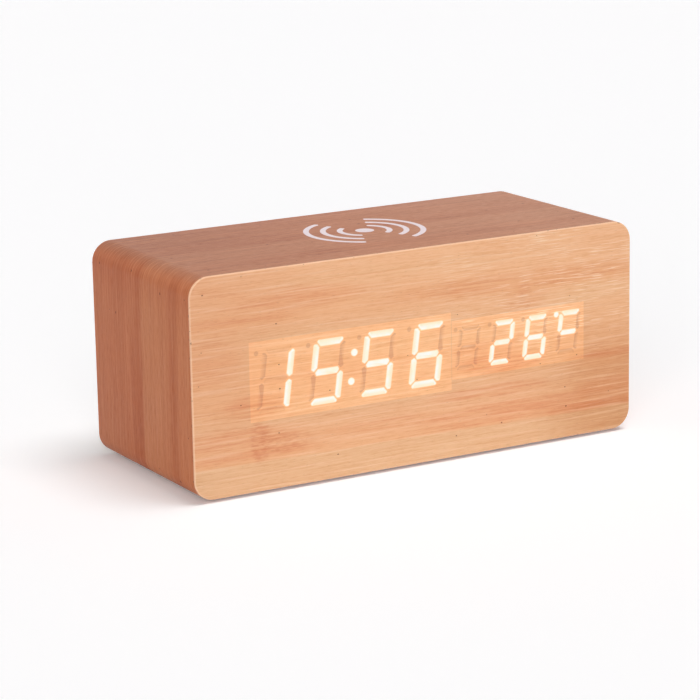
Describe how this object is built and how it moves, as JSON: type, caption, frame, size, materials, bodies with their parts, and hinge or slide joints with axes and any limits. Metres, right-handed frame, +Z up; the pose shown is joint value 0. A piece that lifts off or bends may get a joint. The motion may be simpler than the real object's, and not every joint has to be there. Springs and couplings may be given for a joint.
{
  "type": "digital led desk clock",
  "caption": "Wood-look block desk clock: light segments show time and temperature through the front veneer, wireless charging pad in the top, buttons and supply socket at the back.",
  "frame": {"origin": "centre of the footprint, on the surface that the feet rest on", "axes": "+X right as seen from the front, along the longest side; the display faces -Y; +Z up"},
  "size_m": [0.16, 0.068, 0.0701],
  "materials": {
    "fibreboard": "sawn matt",
    "wrap_wood": "satin printed film",
    "front_wood": "satin printed film",
    "back_wood": "satin printed film",
    "print_ink": "matt ink",
    "foot_rubber": "matt",
    "display_plastic": "matt",
    "segment_resin": "diffusing resin, emissive where lit",
    "circuit_board": "solder mask",
    "tinned_pin": "bright",
    "screw_steel": "blackened",
    "chip_epoxy": "matt",
    "crystal_can": "satin",
    "black_plastic": "fine texture",
    "connector_plastic": "satin",
    "wire_insulation": "satin",
    "panel_plastic": "spark-eroded texture",
    "button_plastic": "polished",
    "plunger_plastic": "satin",
    "socket_steel": "satin",
    "microphone_can": "satin",
    "sensor_epoxy": "satin",
    "copper_wire": "enamelled",
    "ferrite": "matt",
    "spacer_nylon": "satin",
    "film_capacitor": "dipped",
    "cell_steel": "satin",
    "contact_brass": "sprung strip"
  },
  "bodies": {
    "case": {"back_board": "fibreboard", "back_veneer": "back_wood", "battery_cup": "panel_plastic", "buzzer": "black_plastic", "case_tube": "fibreboard", "cell_contact_side": "contact_brass", "cell_contact_top": "contact_brass", "charger_board": "circuit_board", "charger_board_screws": "screw_steel", "charger_board_spacers": "spacer_nylon", "charger_capacitors": "film_capacitor", "charger_chip": "chip_epoxy", "charger_connector": "connector_plastic", "charging_coil": "copper_wire", "charging_symbol": "print_ink", "clock_chip": "chip_epoxy", "coil_leads": "copper_wire", "coil_retainer": "black_plastic", "coil_retainer_screws": "screw_steel", "coin_cell": "cell_steel", "control_board": "circuit_board", "control_board_screws": "screw_steel", "control_connectors": "connector_plastic", "control_cover": "panel_plastic", "control_cover_screws": "screw_steel", "crystal": "crystal_can", "ferrite_shield": "ferrite", "foot_front_left": "foot_rubber", "foot_front_right": "foot_rubber", "foot_rear_left": "foot_rubber", "foot_rear_right": "foot_rubber", "front_board": "fibreboard", "front_veneer": "front_wood", "main_board": "circuit_board", "main_board_screws": "screw_steel", "main_connector": "connector_plastic", "microphone": "microphone_can", "power_lead": "wire_insulation", "signal_ribbon": "wire_insulation", "switch_housings": "black_plastic", "temperature_display_board": "circuit_board", "temperature_display_housing": "display_plastic", "temperature_display_pins": "tinned_pin", "temperature_display_segments": "segment_resin", "temperature_sensor": "sensor_epoxy", "time_display_board": "circuit_board", "time_display_housing": "display_plastic", "time_display_pins": "tinned_pin", "time_display_segments": "segment_resin", "usb_shell": "socket_steel", "usb_tongue": "black_plastic", "wrap_veneer": "wrap_wood"},
    "set_button": {"set_button_cap": "button_plastic", "set_switch_plunger": "plunger_plastic"},
    "up_button": {"up_button_cap": "button_plastic", "up_switch_plunger": "plunger_plastic"},
    "down_button": {"down_button_cap": "button_plastic", "down_switch_plunger": "plunger_plastic"},
    "battery_cap": {"battery_cap": "panel_plastic"}
  },
  "joints": [
    {"name": "set_press", "type": "slide", "parent": "case", "child": "set_button", "axis": [0, -1, 0], "range_m": [0, 0.0005], "stiffness_N_per_m": 4000},
    {"name": "up_press", "type": "slide", "parent": "case", "child": "up_button", "axis": [0, -1, 0], "range_m": [0, 0.0005], "stiffness_N_per_m": 4000},
    {"name": "down_press", "type": "slide", "parent": "case", "child": "down_button", "axis": [0, -1, 0], "range_m": [0, 0.0005], "stiffness_N_per_m": 4000},
    {"name": "battery_cap_twist", "type": "hinge", "parent": "case", "child": "battery_cap", "pos_m": [0.048, -0.003, 0.003], "axis": [0, 0, 1], "range_deg": [0, 40]}
  ]
}
